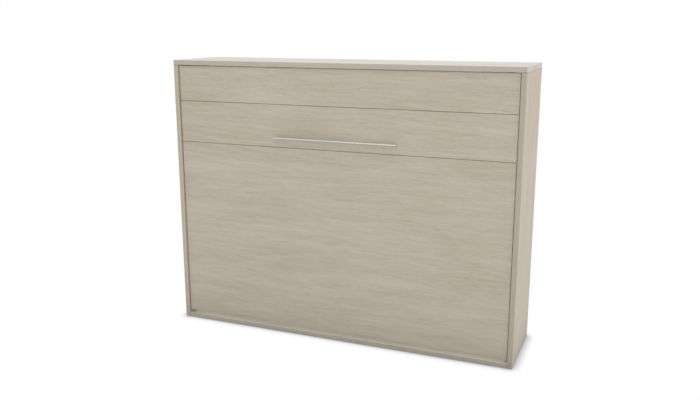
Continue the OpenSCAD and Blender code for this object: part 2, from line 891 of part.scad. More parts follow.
// Clevis at the top of each side rail, which carries the foot.
module foot_clevis(side) {
  gap_w = leg_w + 2 * side_play;
  base_z = front_top_z - clevis_h;
  color(zinc) from_front() on_side(side) translate([rail_x, 0, 0]) difference() {
    union() {
      translate([-gap_w / 2 - cheek_t, frame_y - cheek_t, base_z])
        cube([gap_w + 2 * cheek_t, cheek_t, clevis_h]);
      for (x = [-gap_w / 2 - cheek_t, gap_w / 2])
        translate([x, 0, 0]) rotate([90, 0, 90]) linear_extrude(cheek_t) hull() {
          translate([foot_axis_y, foot_axis_z]) circle(cheek_r, $fn = hull_fn);
          translate([frame_y - cheek_t, base_z]) square([cheek_t, clevis_h]);
        }
    }
    translate([-gap_w, foot_axis_y, foot_axis_z]) rod_x(foot_pin_d, 2 * gap_w);
  }
}

module foot_hinge_pins() {
  span = leg_w + 2 * side_play + 2 * cheek_t;
  color(chrome_steel) from_front() for (side = [-1, 1]) on_side(side)
    translate([rail_x - span / 2, foot_axis_y, foot_axis_z]) {
      rod_x(foot_pin_d, span);
      translate([span, 0, 0]) rod_x(foot_pin_d + 2 * collar_edge, hinge_pin_head_t);
      translate([-hinge_pin_head_t, 0, 0]) rod_x(foot_pin_d + 2 * collar_edge, hinge_pin_head_t);
    }
}

// Top front board: it folds down and stands on the floor while the bed is open.
module foot_board() {
  color(decor) from_front()
    translate([-front_w / 2, front_inset, foot_board_z]) banded_board(front_w, front_t, foot_board_h);
}

module foot_leg(side) {
  tube_top = foot_axis_z - leg_d / 2;
  color(frame_paint) from_front() on_side(side) translate([rail_x - leg_w / 2, 0, 0]) difference() {
    union() {
      translate([0, front_back_y, foot_board_z + glide_h])
        upright_tube(leg_w, leg_d, tube_top - foot_board_z - glide_h, leg_tube_wall);
      translate([0, front_back_y, tube_top]) cube([leg_w, leg_d, leg_d / 2]);
      translate([0, foot_axis_y, foot_axis_z]) rod_x(leg_d, leg_w);
      translate([0, front_back_y, foot_board_z]) cube([leg_w, leg_d, glide_h]);
    }
    translate([-cut, foot_axis_y, foot_axis_z]) rod_x(foot_pin_d + 2 * running, leg_w + 2 * cut);
  }
}

// Tube that ties the two legs together behind the board.
module foot_cross_tube() {
  l = 2 * (rail_x - leg_w / 2);
  color(frame_paint) from_front() translate([-l / 2, front_back_y, foot_board_z + cross_tube_rise])
    lying_tube(l, leg_d, leg_d, leg_tube_wall);
}

// Gas spring, drawn upright from the lower stud and then tilted into place.
module spring_place(side) {
  from_front() on_side(side) translate([spring_x, stud_y, stud_z]) rotate([-spring_tilt, 0, 0]) children();
}

module spring_eye(bore_d) {
  difference() {
    translate([-eye_w / 2, 0, 0]) rod_x(eye_d, eye_w);
    translate([-eye_w, 0, 0]) rod_x(bore_d, 2 * eye_w);
  }
}

module spring_cylinder(side) {
  bore_d = cylinder_d - 2 * cylinder_wall;
  color(black_plastic) spring_place(side) {
    spring_eye(stud_d + 2 * running);
    difference() {
      union() {
        translate([0, 0, stud_d / 2]) cylinder(d = neck_d, h = cylinder_start - stud_d / 2);
        translate([0, 0, cylinder_start]) cylinder(d = cylinder_d, h = cylinder_l);
      }
      translate([-eye_w, 0, 0]) rod_x(stud_d + 2 * running, 2 * eye_w);
      translate([0, 0, cylinder_start + cylinder_cap])
        cylinder(d = bore_d, h = cylinder_l - cylinder_cap - rod_guide_l);
      translate([0, 0, cylinder_start + cylinder_l - rod_guide_l - cut])
        cylinder(d = rod_d + 2 * running, h = rod_guide_l + 2 * cut);
    }
  }
}

// Piston rod, with its piston inside the cylinder and its end fitting beside the upper stud.
module spring_rod(side) {
  color(chrome_steel) spring_place(side) {
    translate([0, 0, spring_l - rod_inner_l]) cylinder(d = rod_d, h = rod_inner_l - eye_d / 4);
    translate([0, 0, spring_l - rod_inner_l])
      cylinder(d = cylinder_d - 2 * cylinder_wall - 2 * running, h = piston_l);
    translate([-eye_w / 2, 0, spring_l]) rod_x(eye_d, eye_w);
  }
}

side_panel(-1);  // left_side
side_panel(1);  // right_side
top_panel();
bottom_panel();
rear_top_rail();
rear_bottom_rail();
dowels();
cam_locks();
cam_bolts();
wall_brackets();
bracket_screws();
side_plate(-1);  // left_side_plate
side_plate(1);  // right_side_plate
side_plate_screws();
pivot_pin(-1);  // left_pivot_pin
pivot_pin(1);  // right_pivot_pin
lower_stud(-1);  // left_lower_stud
lower_stud(1);  // right_lower_stud
stop_bracket(-1);  // left_stop_bracket
stop_bracket(1);  // right_stop_bracket
stop_buffers();
lower_front_board();
handle_board();
handle_bar();
handle_posts();
handle_screws();
batten(0);  // left_outer_batten
batten(1);  // left_inner_batten
batten(2);  // right_inner_batten
batten(3);  // right_outer_batten
side_rail(-1);  // left_side_rail
side_rail(1);  // right_side_rail
long_rail(rail_levels[0]);  // lower_rail
long_rail(rail_levels[1]);  // centre_rail
long_rail(rail_levels[2]);  // handle_rail
long_rail(upper_rail_z);  // upper_rail
batten_bolts();
board_screws();
frame_plate(-1);  // left_frame_plate
frame_plate(1);  // right_frame_plate
pivot_bushes();
upper_stud(-1);  // left_upper_stud
upper_stud(1);  // right_upper_stud
slats();
slat_shoes();
mattress();
mattress_straps();
upper_hoops();
lower_hoops();
foot_clevis(-1);  // left_foot_clevis
foot_clevis(1);  // right_foot_clevis
foot_hinge_pins();
foot_board();
foot_leg(-1);  // left_foot_leg
foot_leg(1);  // right_foot_leg
foot_cross_tube();
spring_cylinder(-1);  // left_spring_cylinder
spring_cylinder(1);  // right_spring_cylinder
spring_rod(-1);  // left_spring_rod
spring_rod(1);  // right_spring_rod
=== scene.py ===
"""A horizontal fold-down cabinet bed, closed, in a pale studio."""

import math

import bmesh
import bpy
from mathutils import Euler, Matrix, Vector
from mathutils.bvhtree import BVHTree


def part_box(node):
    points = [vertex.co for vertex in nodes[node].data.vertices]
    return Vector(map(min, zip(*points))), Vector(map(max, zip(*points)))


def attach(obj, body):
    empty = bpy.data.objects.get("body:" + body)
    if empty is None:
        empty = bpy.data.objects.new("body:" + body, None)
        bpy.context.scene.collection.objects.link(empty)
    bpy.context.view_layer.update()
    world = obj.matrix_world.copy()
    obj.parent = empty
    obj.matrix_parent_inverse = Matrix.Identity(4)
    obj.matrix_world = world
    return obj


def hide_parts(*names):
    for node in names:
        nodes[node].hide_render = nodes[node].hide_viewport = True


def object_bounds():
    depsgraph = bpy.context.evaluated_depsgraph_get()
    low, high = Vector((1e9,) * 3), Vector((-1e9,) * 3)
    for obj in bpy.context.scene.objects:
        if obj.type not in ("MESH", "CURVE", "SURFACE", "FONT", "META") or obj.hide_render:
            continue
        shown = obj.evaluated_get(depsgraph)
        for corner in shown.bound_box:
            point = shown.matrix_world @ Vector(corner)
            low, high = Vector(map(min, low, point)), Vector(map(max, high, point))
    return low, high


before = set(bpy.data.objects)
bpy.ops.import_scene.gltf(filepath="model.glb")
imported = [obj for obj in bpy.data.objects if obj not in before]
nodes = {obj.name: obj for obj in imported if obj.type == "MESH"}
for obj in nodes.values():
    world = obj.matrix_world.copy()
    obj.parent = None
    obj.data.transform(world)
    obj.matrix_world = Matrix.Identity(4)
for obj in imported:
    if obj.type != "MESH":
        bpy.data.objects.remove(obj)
cad_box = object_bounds()

# CAMERA
# The photograph is taken from the right of the cabinet and a little above its top.
# Place, angle and lens come from the straight edges of the carcass.
turned_left = 22.06
tilted_down = 13.05
camera_data = bpy.data.cameras.new("photo_camera")
camera_data.sensor_width = 36
camera_data.lens = 38.715
camera = bpy.data.objects.new("photo_camera", camera_data)
bpy.context.scene.collection.objects.link(camera)
camera.location = (1.6657, -4.1281, 1.8426)
camera.rotation_euler = Euler((math.radians(90 - tilted_down), 0, math.radians(turned_left)))
bpy.context.scene.camera = camera
bpy.context.scene.view_settings.view_transform = "Standard"


# STUDIO
# A white sweep of painted board: the floor runs on into the white behind it.
# Only a painted contact shadow next to the cabinet is left of it in the picture.
def colour(code):
    """The linear colour of a hex code in sRGB."""
    parts = [int(code[i:i + 2], 16) / 255 for i in (1, 3, 5)]
    return tuple(c / 12.92 if c <= 0.04045 else ((c + 0.055) / 1.055) ** 2.4 for c in parts) + (1,)


def put(tree, kind, inputs=(), **settings):
    """Adds one node with its settings, and fills or links its inputs."""
    made = tree.nodes.new(kind)
    for name, value in settings.items():
        setattr(made, name, value)
    for name, value in dict(inputs).items():
        if isinstance(value, bpy.types.NodeSocket):
            tree.links.new(value, made.inputs[name])
        else:
            made.inputs[name].default_value = value
    return made


def seen_directly(tree):
    """1 where the camera looks, also by way of a mirror or glass, and 0 for light on its way to the bed."""
    looks = put(tree, "ShaderNodeLightPath")
    mirrored = put(tree, "ShaderNodeMath", {0: looks.outputs["Is Camera Ray"], 1: looks.outputs["Is Glossy Ray"]},
                   operation="MAXIMUM")
    return put(tree, "ShaderNodeMath", {0: mirrored.outputs[0], 1: looks.outputs["Is Transmission Ray"]},
               operation="MAXIMUM").outputs[0]


# The room is plain white to look at. Its light is soft and comes from above, so the top board is the palest.
studio = bpy.data.worlds.new("studio_light")
studio.use_nodes = True
bpy.context.scene.world = studio
tree = studio.node_tree
tree.nodes.clear()
direction = put(tree, "ShaderNodeTexCoord")
axes = put(tree, "ShaderNodeSeparateXYZ", {0: direction.outputs["Generated"]})
upwards = put(tree, "ShaderNodeMapRange", {"Value": axes.outputs["Z"], "From Min": 0.2, "From Max": 0.85,
                                           "To Min": 0.10, "To Max": 1.60})
soft_sky = put(tree, "ShaderNodeBackground", {"Color": colour("#fdfdff"), "Strength": upwards.outputs["Result"]})
plain_white = put(tree, "ShaderNodeBackground", {"Color": (1, 1, 1, 1), "Strength": 1.0})
sky = put(tree, "ShaderNodeMixShader", {0: seen_directly(tree), 1: soft_sky.outputs[0], 2: plain_white.outputs[0]})
put(tree, "ShaderNodeOutputWorld", {"Surface": sky.outputs[0]})

floor_reach = 60
corners = [(x * floor_reach, y * floor_reach, 0) for x, y in ((-1, -1), (1, -1), (1, 1), (-1, 1))]
floor_mesh = bpy.data.meshes.new("studio_floor")
floor_mesh.from_pydata(corners, [], [(0, 1, 2, 3)])
studio_floor = bpy.data.objects.new("studio_floor", floor_mesh)
bpy.context.scene.collection.objects.link(studio_floor)

# Matt white paint. Seen directly it glows plain white, with a contact shadow painted in by an occlusion test close to
# the cabinet.
# Close to the cabinet its bounce colour is painted darker: painted shade that darkens the boards towards the floor.
half_width, half_depth = cad_box[1].x, cad_box[1].y
# Painted shade: over this distance from the cabinet the floor's bounce colour darkens.
painted_shade_zone = 0.34
painted_shade_bounce_near = (0.32, 0.32, 0.32, 1)
thrown_back_far = (0.78, 0.78, 0.78, 1)
shadow_reach = 0.055
sweep_paint = bpy.data.materials.new("matt_white_sweep_paint")
sweep_paint.use_nodes = True
tree = sweep_paint.node_tree
tree.nodes.clear()
place = put(tree, "ShaderNodeNewGeometry")
spot = put(tree, "ShaderNodeSeparateXYZ", {0: place.outputs["Position"]})
away_x = put(tree, "ShaderNodeMath", {0: spot.outputs["X"]}, operation="ABSOLUTE")
past_x = put(tree, "ShaderNodeMath", {0: away_x.outputs[0], 1: half_width}, operation="SUBTRACT")
away_y = put(tree, "ShaderNodeMath", {0: spot.outputs["Y"]}, operation="ABSOLUTE")
past_y = put(tree, "ShaderNodeMath", {0: away_y.outputs[0], 1: half_depth}, operation="SUBTRACT")
past = put(tree, "ShaderNodeMath", {0: past_x.outputs[0], 1: past_y.outputs[0]}, operation="MAXIMUM")
far = put(tree, "ShaderNodeMapRange", {"Value": past.outputs[0], "From Min": 0.0, "From Max": painted_shade_zone},
          interpolation_type="SMOOTHSTEP")
bounce = put(tree, "ShaderNodeMix", {0: far.outputs["Result"], 6: painted_shade_bounce_near, 7: thrown_back_far},
             data_type="RGBA")
unseen_floor = put(tree, "ShaderNodeBsdfDiffuse", {"Color": bounce.outputs[2]})
# Painted contact shadow: the white glow is darkened where the cabinet is near.
painted_contact_shadow = put(tree, "ShaderNodeAmbientOcclusion", {"Distance": shadow_reach}, samples=16)
seen_floor = put(tree, "ShaderNodeEmission", {"Color": painted_contact_shadow.outputs["Color"], "Strength": 1.0})
paint = put(tree, "ShaderNodeMixShader", {0: seen_directly(tree), 1: unseen_floor.outputs[0], 2: seen_floor.outputs[0]})
put(tree, "ShaderNodeOutputMaterial", {"Surface": paint.outputs[0]})
floor_mesh.materials.append(sweep_paint)


def softbox(name, place, aim, width, height, watts):
    """A studio lamp behind cloth, turned towards a point."""
    lamp_data = bpy.data.lights.new(name, "AREA")
    lamp_data.shape = "RECTANGLE"
    lamp_data.size, lamp_data.size_y, lamp_data.energy = width, height, watts
    lamp = bpy.data.objects.new(name, lamp_data)
    lamp.location = place
    lamp.rotation_euler = (Vector(aim) - Vector(place)).to_track_quat("-Z", "Y").to_euler()
    bpy.context.scene.collection.objects.link(lamp)


softbox("front_softbox", (-0.8, -8.0, 3.0), (0, 0, 0.8), 5.0, 4.0, 83)
# Two narrow fills are nearly as long as the inside of the carcass.
# The first stands in the gap under the front and opens up the top face of the bottom board.
# The second, under the top board, lights the rear rail, which is seen through the slot above the front.
fill_length = 2.02
softbox("gap_fill", (0, -0.200, 0.0445), (0, -0.200, 0), fill_length, 0.060, 0.25)
softbox("slot_fill", (0, 0.080, 1.560), (0, 0.2345, 1.590), fill_length, 0.030, 0.5)
softbox("side_softbox", (6.0, -1.6, 2.4), (1.0, 0, 0.8), 2.6, 2.0, 35)


# CARCASS
# Boards of chipboard faced with a greige oak decor paper under melamine resin, 28 mm thick.
# The grain runs along each board: across the top and bottom, up the sides. Sawn, edge-banded and dowelled.
def new_finish(name):
    """An empty material: returns it, its node tree and its coordinates in metres."""
    finish = bpy.data.materials.new(name)
    finish.use_nodes = True
    tree = finish.node_tree
    tree.nodes.clear()
    return finish, tree, put(tree, "ShaderNodeTexCoord").outputs["Object"]


def complete(tree, inputs):
    """Ends a material with its Principled shader, whose inputs are given by name."""
    shader = put(tree, "ShaderNodeBsdfPrincipled", inputs)
    put(tree, "ShaderNodeOutputMaterial", {"Surface": shader.outputs[0]})


def millimetres(tree, where, x, y, z, shift=(0, 0, 0)):
    """Coordinates in which one unit is x, y and z millimetres long along the three axes."""
    scale = (1000 / x, 1000 / y, 1000 / z)
    return put(tree, "ShaderNodeMapping", {"Vector": where, "Scale": scale, "Location": shift}).outputs[0]


def dress(finish, *names):
    """Gives CAD pieces this finish."""
    for name in names:
        mesh = nodes[name].data
        mesh.materials.clear()
        mesh.materials.append(finish)


joint_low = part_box("bottom_panel")[1].z
joint_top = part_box("top_panel")[0].z
joint_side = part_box("bottom_panel")[1].x
joint_line = 0.0016
banding = 0.001
banding_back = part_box("left_side")[0].y + banding


def oak_decor(name, lengthwise, light, dark, band, resin=()):
    """Printed oak under matt melamine: soft long bands, short darker dashes and faint arches.

    Low contrast and no pores to feel, so the eye gets a calm grey-beige surface with a dull sheen.
    """
    finish, tree, where = new_finish(name)

    def along(long, high, shift):
        sizes = (high, high, long) if lengthwise == "Z" else (long, high, high)
        return millimetres(tree, where, *sizes, shift=(shift, shift, shift))

    bands = put(tree, "ShaderNodeTexNoise", {"Vector": along(620, 46, 3.1), "Scale": 1, "Detail": 3,
                                             "Roughness": 0.55, "Distortion": 0.25})
    clouds = put(tree, "ShaderNodeTexNoise", {"Vector": along(330, 120, 7.7), "Scale": 1, "Detail": 2})
    streaks = put(tree, "ShaderNodeTexNoise", {"Vector": along(150, 11, 1.9), "Scale": 1, "Detail": 4,
                                               "Roughness": 0.6})
    # Real pores are 0.2 mm wide: these dashes are drawn about 4 mm wide so that they show in the picture.
    dashes = put(tree, "ShaderNodeTexNoise", {"Vector": along(42, 4.5, 5.3), "Scale": 1, "Detail": 2, "Roughness": 0.7})
    hairs = put(tree, "ShaderNodeTexNoise", {"Vector": along(85, 6.5, 6.1), "Scale": 1, "Detail": 3, "Roughness": 0.65})
    arch_place = put(tree, "ShaderNodeTexNoise", {"Vector": along(1500, 260, 0.4), "Scale": 1, "Detail": 1})
    arch_bend = put(tree, "ShaderNodeVectorMath", {0: along(900, 170, 2.2), 1: arch_place.outputs["Color"]},
                    operation="ADD")
    arches = put(tree, "ShaderNodeTexWave", {"Vector": arch_bend.outputs[0], "Scale": 1.6, "Distortion": 3.0,
                                             "Detail": 2, "Detail Scale": 1.2},
                 wave_type="RINGS", rings_direction="SPHERICAL")
    arch_mask = put(tree, "ShaderNodeMapRange", {"Value": arch_place.outputs["Fac"], "From Min": 0.5, "From Max": 0.68})
    arch_tone = put(tree, "ShaderNodeMath", {0: arches.outputs["Fac"], 1: arch_mask.outputs["Result"]},
                    operation="MULTIPLY")
    dash_mask = put(tree, "ShaderNodeMapRange", {"Value": dashes.outputs["Fac"], "From Min": 0.58, "From Max": 0.8})

    # The patterns add up, each with its weight, to how dark the print is.
    sum_so_far = -0.03
    for pattern, weight in ((bands.outputs["Fac"], 0.9), (clouds.outputs["Fac"], 0.5), (streaks.outputs["Fac"], 0.85),
                            (dash_mask.outputs["Result"], 0.8), (arch_tone.outputs[0], 0.16),
                            (hairs.outputs["Fac"], 0.55)):
        sum_so_far = put(tree, "ShaderNodeMath", {0: pattern, 1: weight, 2: sum_so_far},
                         operation="MULTIPLY_ADD").outputs[0]
    depth = put(tree, "ShaderNodeMapRange", {"Value": sum_so_far, "From Min": 1.06, "From Max": 1.96})
    print_tone = put(tree, "ShaderNodeMix", {0: depth.outputs["Result"], 6: colour(light), 7: colour(dark)},
                     data_type="RGBA")
    tone = print_tone.outputs[2]
    spot = put(tree, "ShaderNodeSeparateXYZ", {0: where})
    if band:
        # The front edges carry a 1 mm banding strip, plainer than the face. Towards the right it grows a little darker:
        # painted shade for how the light falls across the carcass.
        on_edge = put(tree, "ShaderNodeMath", {0: spot.outputs["Y"], 1: banding_back}, operation="LESS_THAN")
        # Painted shade: the strip's share rises from left to right.
        rightward_painted_shade = put(tree, "ShaderNodeMapRange", {"Value": spot.outputs["X"], "From Min": -1.0, "From Max": 1.0,
                                                 "To Min": 0.33, "To Max": 0.62})
        strip = put(tree, "ShaderNodeMix", {0: rightward_painted_shade.outputs["Result"], 6: tone, 7: colour(band)}, data_type="RGBA")
        banded = put(tree, "ShaderNodeMix", {0: on_edge.outputs[0], 6: tone, 7: strip.outputs[2]}, data_type="RGBA")
        tone = banded.outputs[2]
    if lengthwise == "Z":
        # The rounded ends of the sides leave a fine shadow line under the top board and beside the bottom board.
        # It is 0.5 mm wide: drawn at 1.6 mm so that it shows.
        under_top = put(tree, "ShaderNodeMath", {0: spot.outputs["Z"], 1: joint_top - joint_line},
                        operation="GREATER_THAN")
        outward = put(tree, "ShaderNodeMath", {0: spot.outputs["X"]}, operation="ABSOLUTE")
        inmost = put(tree, "ShaderNodeMath", {0: outward.outputs[0], 1: joint_side + joint_line},
                     operation="LESS_THAN")
        low_down = put(tree, "ShaderNodeMath", {0: spot.outputs["Z"], 1: joint_low}, operation="LESS_THAN")
        beside = put(tree, "ShaderNodeMath", {0: inmost.outputs[0], 1: low_down.outputs[0]}, operation="MULTIPLY")
        joint = put(tree, "ShaderNodeMath", {0: under_top.outputs[0], 1: beside.outputs[0]}, operation="MAXIMUM")
        lined = put(tree, "ShaderNodeMix", {0: joint.outputs[0], 6: tone, 7: colour("#5b5348")}, data_type="RGBA")
        tone = lined.outputs[2]

    dull = put(tree, "ShaderNodeMapRange", {"Value": streaks.outputs["Fac"], "To Min": 0.46, "To Max": 0.60})
    press = put(tree, "ShaderNodeTexNoise", {"Vector": along(18, 0.9, 8.8), "Scale": 1, "Detail": 3, "Roughness": 0.6})
    relief = put(tree, "ShaderNodeBump", {"Height": press.outputs["Fac"], "Strength": 0.25, "Distance": 0.0002})
    complete(tree, {"Base Color": tone, "Roughness": dull.outputs["Result"], "Normal": relief.outputs[0], "IOR": 1.5,
                    **dict(resin)})
    return finish


# The top is seen almost edge on, where the resin mirrors the white room.
lying_oak = oak_decor("greige_oak_melamine_lying_grain", "X", "#c6bdad", "#b1a695", "#a9a196",
                      {"Coat Weight": 0.6, "Coat Roughness": 0.3})
# The sides' copy of the print is a shade paler and warmer than the top's: painted light for the light falling on the
# side faces.
standing_oak = oak_decor("greige_oak_melamine_standing_grain", "Z", "#ccc1ae", "#b9ac98", "#a29a8f")
dress(lying_oak, "top_panel", "bottom_panel", "rear_top_rail", "rear_bottom_rail")
dress(standing_oak, "left_side", "right_side")

# FRONT BOARDS
# Three 18 mm boards with the same oak decor, cut from one sheet so that the grain runs across.
# The upper one folds out as the foot, the middle one carries the handle.
front_oak = oak_decor("greige_oak_melamine_front", "X", "#c6bdac", "#ada28f", None)
dress(front_oak, "lower_front_board", "handle_board", "foot_board")


# HANDLE
# A 14 mm bar of stainless steel, brushed along its length, on two posts that are hollowed to seat it.
# Screws from behind the board hold the posts.
def stainless(name, line_size, dark, pale):
    """Stainless steel with fine lines, each line_size millimetres along the three axes.

    The lines stretch every highlight, so the eye gets a soft grey with one pale stripe.
    """
    finish, tree, where = new_finish(name)
    lines = put(tree, "ShaderNodeTexNoise", {"Vector": millimetres(tree, where, *line_size), "Scale": 1,
                                             "Detail": 4, "Roughness": 0.7})
    tone = put(tree, "ShaderNodeMix", {0: lines.outputs["Fac"], 6: colour(dark), 7: colour(pale)}, data_type="RGBA")
    dull = put(tree, "ShaderNodeMapRange", {"Value": lines.outputs["Fac"], "To Min": 0.18, "To Max": 0.30})
    relief = put(tree, "ShaderNodeBump", {"Height": lines.outputs["Fac"], "Strength": 0.3, "Distance": 0.0001})
    complete(tree, {"Base Color": tone.outputs[2], "Roughness": dull.outputs["Result"], "Normal": relief.outputs[0],
                    "Metallic": 1.0, "Anisotropic": 0.5})
    return finish


# Brush lines are 0.05 mm apart: drawn at 0.8 mm so that they show.
dress(stainless("brushed_stainless_steel", (60, 0.8, 0.8), "#b1b0ac", "#cbcac6"), "handle_bar")
# The posts are turned, with fine rings around them. Their tone is paler than the bar's: a painted highlight for the
# glint on their tops.
dress(stainless("turned_stainless_steel", (14, 0.8, 14), "#d0cfcc", "#e6e5e2"), "handle_posts")

# FITTINGS
# Brackets, plates, screws, cams and hoops are stamped or drawn steel with bright zinc plating.
# The zinc gives a bluish grey with faint cloudy crystals and soft duller patches.
zinc_plate, tree, where = new_finish("bright_zinc_plated_steel")
crystals = put(tree, "ShaderNodeTexVoronoi", {"Vector": millimetres(tree, where, 4, 4, 4), "Scale": 1}, feature="F1")
smear = put(tree, "ShaderNodeTexNoise", {"Vector": millimetres(tree, where, 30, 30, 30), "Scale": 1, "Detail": 4})
cloud = put(tree, "ShaderNodeMath", {0: crystals.outputs["Distance"], 1: 0.5, 2: smear.outputs["Fac"]},
            operation="MULTIPLY_ADD")
tone = put(tree, "ShaderNodeMix", {0: cloud.outputs[0], 6: colour("#8f959b"), 7: colour("#bcc1c4")}, data_type="RGBA")
dull = put(tree, "ShaderNodeMapRange", {"Value": smear.outputs["Fac"], "To Min": 0.28, "To Max": 0.5})
relief = put(tree, "ShaderNodeBump", {"Height": smear.outputs["Fac"], "Strength": 0.15, "Distance": 0.0003})
complete(tree, {"Base Color": tone.outputs[2], "Roughness": dull.outputs["Result"], "Normal": relief.outputs[0],
                "Metallic": 1.0})
dress(zinc_plate, "cam_locks", "cam_bolts", "wall_brackets", "bracket_screws", "left_side_plate", "right_side_plate",
      "side_plate_screws", "left_stop_bracket", "right_stop_bracket", "handle_screws", "batten_bolts", "board_screws",
      "left_frame_plate", "right_frame_plate", "upper_hoops", "lower_hoops", "left_foot_clevis", "right_foot_clevis")

# Pins, studs and spring rods are turned from bright steel bar: smooth, with a fine lathe mark round the axis.
turned_steel, tree, where = new_finish("bright_turned_steel")
# The feed mark of the lathe is 0.1 mm: drawn at 0.6 mm so that it shows.
feed = put(tree, "ShaderNodeTexNoise", {"Vector": millimetres(tree, where, 0.6, 40, 40), "Scale": 1, "Detail": 2})
tone = put(tree, "ShaderNodeMix", {0: feed.outputs["Fac"], 6: colour("#c4c7ca"), 7: colour("#dcdee0")},
           data_type="RGBA")
dull = put(tree, "ShaderNodeMapRange", {"Value": feed.outputs["Fac"], "To Min": 0.12, "To Max": 0.24})
relief = put(tree, "ShaderNodeBump", {"Height": feed.outputs["Fac"], "Strength": 0.2, "Distance": 0.00005})
complete(tree, {"Base Color": tone.outputs[2], "Roughness": dull.outputs["Result"], "Normal": relief.outputs[0],
                "Metallic": 1.0})
dress(turned_steel, "left_pivot_pin", "right_pivot_pin", "left_lower_stud", "right_lower_stud", "left_upper_stud",
      "right_upper_stud", "foot_hinge_pins", "left_spring_rod", "right_spring_rod")

# Beech dowels and the spruce battens between frame and front are bare planed wood.
# Spruce shows narrow darker late-wood lines that run up the batten, and it is quite dull.
planed_spruce, tree, where = new_finish("planed_spruce")
waver = put(tree, "ShaderNodeTexNoise", {"Vector": millimetres(tree, where, 60, 60, 500), "Scale": 1, "Detail": 2})
rings_at = put(tree, "ShaderNodeVectorMath", {0: millimetres(tree, where, 26, 26, 900), 1: waver.outputs["Color"]},
               operation="ADD")
rings = put(tree, "ShaderNodeTexWave", {"Vector": rings_at.outputs[0], "Scale": 1, "Distortion": 1.5, "Detail": 2},
            wave_type="BANDS", bands_direction="X")
fibres = put(tree, "ShaderNodeTexNoise", {"Vector": millimetres(tree, where, 1.2, 1.2, 60), "Scale": 1, "Detail": 3})
grain = put(tree, "ShaderNodeMath", {0: fibres.outputs["Fac"], 1: 0.35, 2: rings.outputs["Fac"]},
            operation="MULTIPLY_ADD")
tone = put(tree, "ShaderNodeMix", {0: grain.outputs[0], 6: colour("#dcc08e"), 7: colour("#bd9559")}, data_type="RGBA")
relief = put(tree, "ShaderNodeBump", {"Height": fibres.outputs["Fac"], "Strength": 0.3, "Distance": 0.0003})
complete(tree, {"Base Color": tone.outputs[2], "Roughness": 0.7, "Normal": relief.outputs[0], "IOR": 1.5})
dress(planed_spruce, "dowels", "left_outer_batten", "left_inner_batten", "right_inner_batten", "right_outer_batten")

# STEEL FRAME
# Welded rectangular tube with dark grey powder coating, on which the slats and the front boards are fixed.
# The baked powder leaves a fine orange-peel skin with a satin shine.
powder_coat, tree, where = new_finish("dark_grey_powder_coating")
# Orange peel has bumps of about 1.5 mm.
peel = put(tree, "ShaderNodeTexNoise", {"Vector": millimetres(tree, where, 1.5, 1.5, 1.5), "Scale": 1, "Detail": 2})
drift = put(tree, "ShaderNodeTexNoise", {"Vector": millimetres(tree, where, 90, 90, 90), "Scale": 1, "Detail": 2})
tone = put(tree, "ShaderNodeMix", {0: drift.outputs["Fac"], 6: colour("#45474a"), 7: colour("#525457")},
           data_type="RGBA")
dull = put(tree, "ShaderNodeMapRange", {"Value": drift.outputs["Fac"], "To Min": 0.36, "To Max": 0.5})
relief = put(tree, "ShaderNodeBump", {"Height": peel.outputs["Fac"], "Strength": 0.35, "Distance": 0.0002})
complete(tree, {"Base Color": tone.outputs[2], "Roughness": dull.outputs["Result"], "Normal": relief.outputs[0],
                "IOR": 1.5})
dress(powder_coat, "left_side_rail", "right_side_rail", "lower_rail", "centre_rail", "handle_rail", "upper_rail",
      "left_foot_leg", "right_foot_leg", "foot_cross_tube")

# SLATS
# Sprung slats: birch veneers glued and pressed into a slight bow, 8 mm thick, with a thin clear lacquer.
# The face has long pale grain, and the cut edges show the layers.
birch_plies, tree, where = new_finish("pressed_birch_veneer")
figure = put(tree, "ShaderNodeTexNoise", {"Vector": millimetres(tree, where, 9, 9, 260), "Scale": 1, "Detail": 4,
                                          "Distortion": 0.4})
fibres = put(tree, "ShaderNodeTexNoise", {"Vector": millimetres(tree, where, 0.8, 0.8, 45), "Scale": 1, "Detail": 2})
grain = put(tree, "ShaderNodeMath", {0: fibres.outputs["Fac"], 1: 0.4, 2: figure.outputs["Fac"]},
            operation="MULTIPLY_ADD")
face = put(tree, "ShaderNodeMix", {0: grain.outputs[0], 6: colour("#ecd6ab"), 7: colour("#c9a069")}, data_type="RGBA")
spot = put(tree, "ShaderNodeSeparateXYZ", {0: where})
# Six veneers of 1.35 mm: every second glue line is dark.
veneer = 0.00135
layer = put(tree, "ShaderNodeMath", {0: spot.outputs["Y"], 1: math.tau / (2 * veneer)}, operation="MULTIPLY")
layers = put(tree, "ShaderNodeMath", {0: layer.outputs[0]}, operation="SINE")
glue = put(tree, "ShaderNodeMapRange", {"Value": layers.outputs[0], "From Min": 0.2, "From Max": 0.9, "To Max": 0.45})
turned = put(tree, "ShaderNodeSeparateXYZ", {0: put(tree, "ShaderNodeNewGeometry").outputs["Normal"]})
side_face = put(tree, "ShaderNodeMath", {0: turned.outputs["X"]}, operation="ABSOLUTE")
on_edge = put(tree, "ShaderNodeMath", {0: side_face.outputs[0], 1: glue.outputs["Result"]}, operation="MULTIPLY")
tone = put(tree, "ShaderNodeMix", {0: on_edge.outputs[0], 6: face.outputs[2], 7: colour("#8a6a40")}, data_type="RGBA")
dull = put(tree, "ShaderNodeMapRange", {"Value": figure.outputs["Fac"], "To Min": 0.36, "To Max": 0.5})
relief = put(tree, "ShaderNodeBump", {"Height": fibres.outputs["Fac"], "Strength": 0.2, "Distance": 0.0002})
complete(tree, {"Base Color": tone.outputs[2], "Roughness": dull.outputs["Result"], "Normal": relief.outputs[0],
                "IOR": 1.5, "Coat Weight": 0.2})
dress(birch_plies, "slats")

# The shoes of the slats and the bushes of the pivots are moulded in black nylon.
# The spark-eroded mould leaves a fine matt grain.
moulded_nylon, tree, where = new_finish("moulded_black_nylon")
